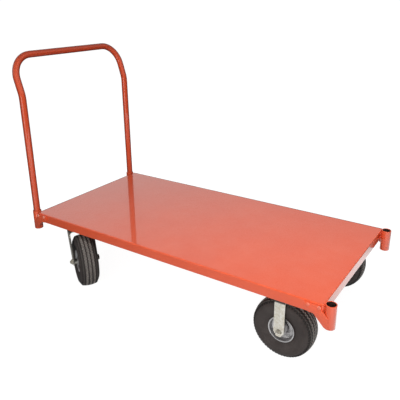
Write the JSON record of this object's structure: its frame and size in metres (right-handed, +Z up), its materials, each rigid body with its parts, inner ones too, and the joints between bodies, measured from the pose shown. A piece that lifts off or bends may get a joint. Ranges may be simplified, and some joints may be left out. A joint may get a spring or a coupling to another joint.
{
  "type": "platform cart",
  "caption": "Flat steel deck with turned-down edge on rigid and swivel casters with pneumatic tyres, pipe sockets at the corners and a lift-out U push handle.",
  "frame": {"origin": "on the floor, under the middle of the overall length and width", "axes": "+X the way the cart is pushed, handle at the -X end; +Y to its left; +Z up"},
  "size_m": [1.6594, 0.8984, 1.1053],
  "materials": {
    "red_enamel": "gloss red-orange enamel",
    "zinc_steel": "zinc plated, satin",
    "rim_steel": "bright zinc plated",
    "tyre_rubber": "matt black rubber",
    "tube_rubber": "smooth black rubber"
  },
  "bodies": {
    "deck": {"deck_pan": "red_enamel", "front_cross_channel": "red_enamel", "front_middle_channel": "red_enamel", "rear_middle_channel": "red_enamel", "rear_cross_channel": "red_enamel", "front_left_socket": "red_enamel", "front_left_gusset": "red_enamel", "front_left_plate": "zinc_steel", "front_right_socket": "red_enamel", "front_right_gusset": "red_enamel", "front_right_plate": "zinc_steel", "rear_left_socket": "red_enamel", "rear_left_gusset": "red_enamel", "rear_left_plate": "zinc_steel", "rear_right_socket": "red_enamel", "rear_right_gusset": "red_enamel", "rear_right_plate": "zinc_steel", "front_left_fork": "zinc_steel", "front_left_axle_bolt": "zinc_steel", "front_left_axle_nut": "zinc_steel", "front_left_left_spacer": "zinc_steel", "front_left_right_spacer": "zinc_steel", "rear_left_race_ring": "zinc_steel", "rear_left_kingpin": "zinc_steel", "front_right_fork": "zinc_steel", "front_right_axle_bolt": "zinc_steel", "front_right_axle_nut": "zinc_steel", "front_right_left_spacer": "zinc_steel", "front_right_right_spacer": "zinc_steel", "rear_right_race_ring": "zinc_steel", "rear_right_kingpin": "zinc_steel"},
    "handle": {"push_handle": "red_enamel"},
    "rear_left_swivel": {"rear_left_fork": "zinc_steel", "rear_left_axle_bolt": "zinc_steel", "rear_left_axle_nut": "zinc_steel", "rear_left_left_spacer": "zinc_steel", "rear_left_right_spacer": "zinc_steel"},
    "rear_right_swivel": {"rear_right_fork": "zinc_steel", "rear_right_axle_bolt": "zinc_steel", "rear_right_axle_nut": "zinc_steel", "rear_right_left_spacer": "zinc_steel", "rear_right_right_spacer": "zinc_steel"},
    "front_left_wheel": {"front_left_tyre": "tyre_rubber", "front_left_inner_tube": "tube_rubber", "front_left_rim": "rim_steel", "front_left_hub_bearing": "rim_steel"},
    "front_right_wheel": {"front_right_tyre": "tyre_rubber", "front_right_inner_tube": "tube_rubber", "front_right_rim": "rim_steel", "front_right_hub_bearing": "rim_steel"},
    "rear_left_wheel": {"rear_left_tyre": "tyre_rubber", "rear_left_inner_tube": "tube_rubber", "rear_left_rim": "rim_steel", "rear_left_hub_bearing": "rim_steel"},
    "rear_right_wheel": {"rear_right_tyre": "tyre_rubber", "rear_right_inner_tube": "tube_rubber", "rear_right_rim": "rim_steel", "rear_right_hub_bearing": "rim_steel"}
  },
  "joints": [
    {"name": "handle_lift", "type": "slide", "parent": "deck", "child": "handle", "axis": [0, 0, 1], "range_m": [0, 0.1]},
    {"name": "rear_left_swivel_turn", "type": "hinge", "parent": "deck", "child": "rear_left_swivel", "pos_m": [-0.49357, 0.317, 0.27], "axis": [0, 0, 1], "continuous": true},
    {"name": "rear_right_swivel_turn", "type": "hinge", "parent": "deck", "child": "rear_right_swivel", "pos_m": [-0.49357, -0.317, 0.27], "axis": [0, 0, 1], "continuous": true},
    {"name": "front_left_wheel_roll", "type": "hinge", "parent": "deck", "child": "front_left_wheel", "pos_m": [0.61643, 0.305, 0.127], "axis": [0, 1, 0], "continuous": true},
    {"name": "front_right_wheel_roll", "type": "hinge", "parent": "deck", "child": "front_right_wheel", "pos_m": [0.61643, -0.305, 0.127], "axis": [0, 1, 0], "continuous": true},
    {"name": "rear_left_wheel_roll", "type": "hinge", "parent": "rear_left_swivel", "child": "rear_left_wheel", "pos_m": [-0.43454, 0.35461, 0.127], "axis": [-0.5373, 0.8434, 0], "continuous": true},
    {"name": "rear_right_wheel_roll", "type": "hinge", "parent": "rear_right_swivel", "child": "rear_right_wheel", "pos_m": [-0.43454, -0.35461, 0.127], "axis": [0.5373, 0.8434, 0], "continuous": true}
  ]
}
